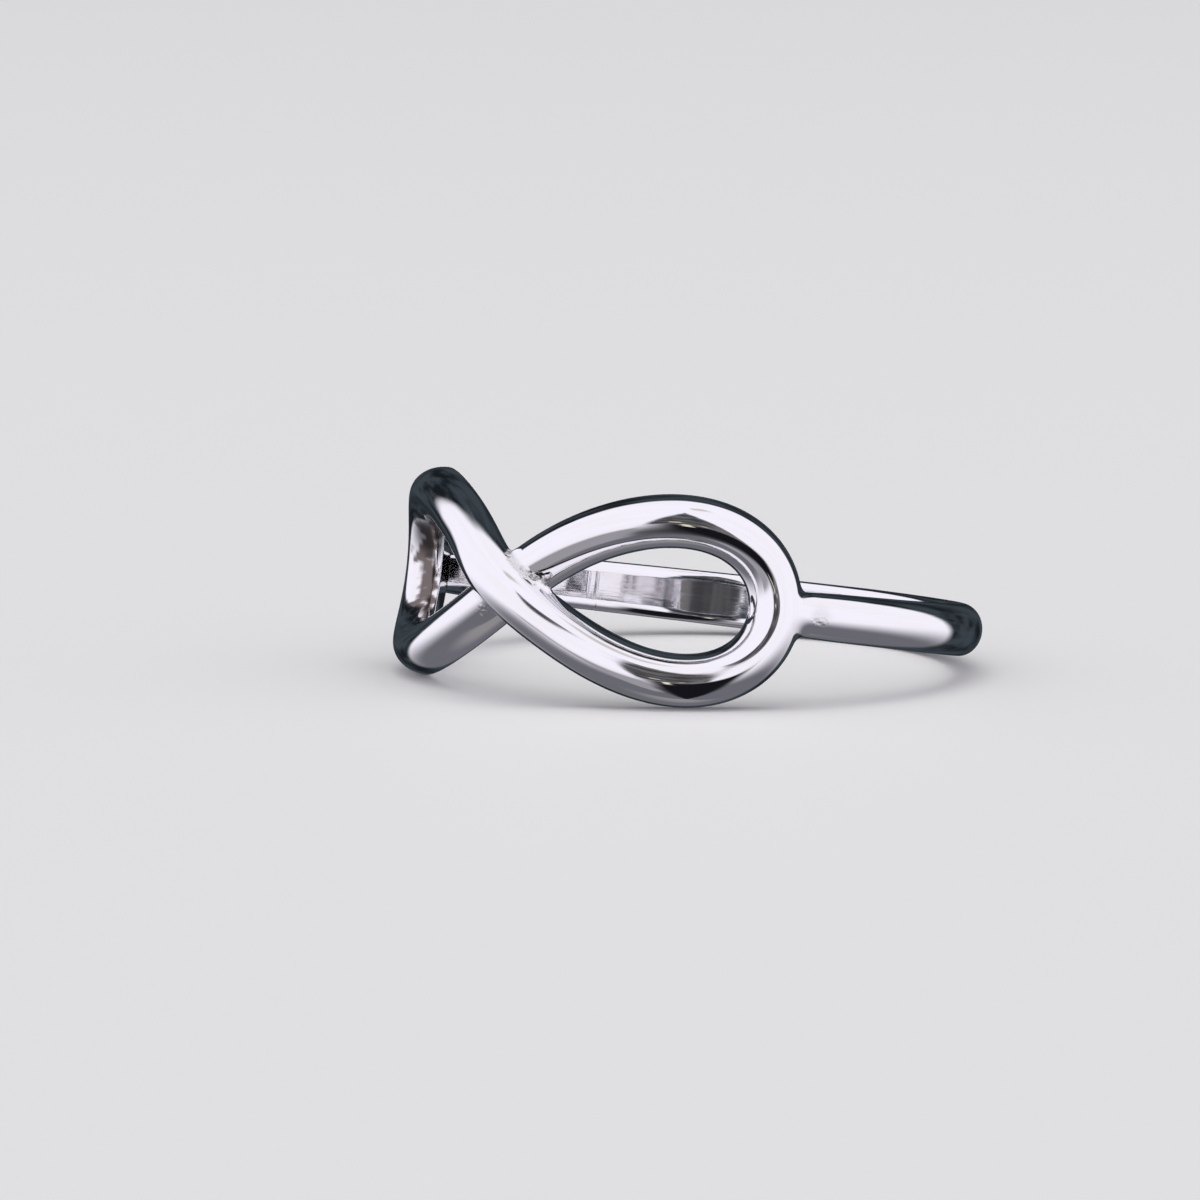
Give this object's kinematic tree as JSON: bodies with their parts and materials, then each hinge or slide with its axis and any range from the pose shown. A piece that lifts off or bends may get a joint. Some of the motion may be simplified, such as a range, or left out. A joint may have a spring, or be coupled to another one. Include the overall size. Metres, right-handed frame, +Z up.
{
  "type": "infinity ring",
  "caption": "Polished metal finger ring: a wire figure of eight lies across the front of the finger and a tapered band joins its loops behind. It lies on its side.",
  "frame": {"origin": "on the surface that the ring lies on, under the middle of its box", "axes": "+Z up, -Y towards the crossing of the figure of eight, +Y towards the back of the band, +X to the right as the crossing is seen from outside"},
  "size_m": [0.0194, 0.0202, 0.007],
  "materials": {
    "silver": "high polish"
  },
  "bodies": {
    "root": {"infinity_ring": "silver"}
  },
  "joints": []
}
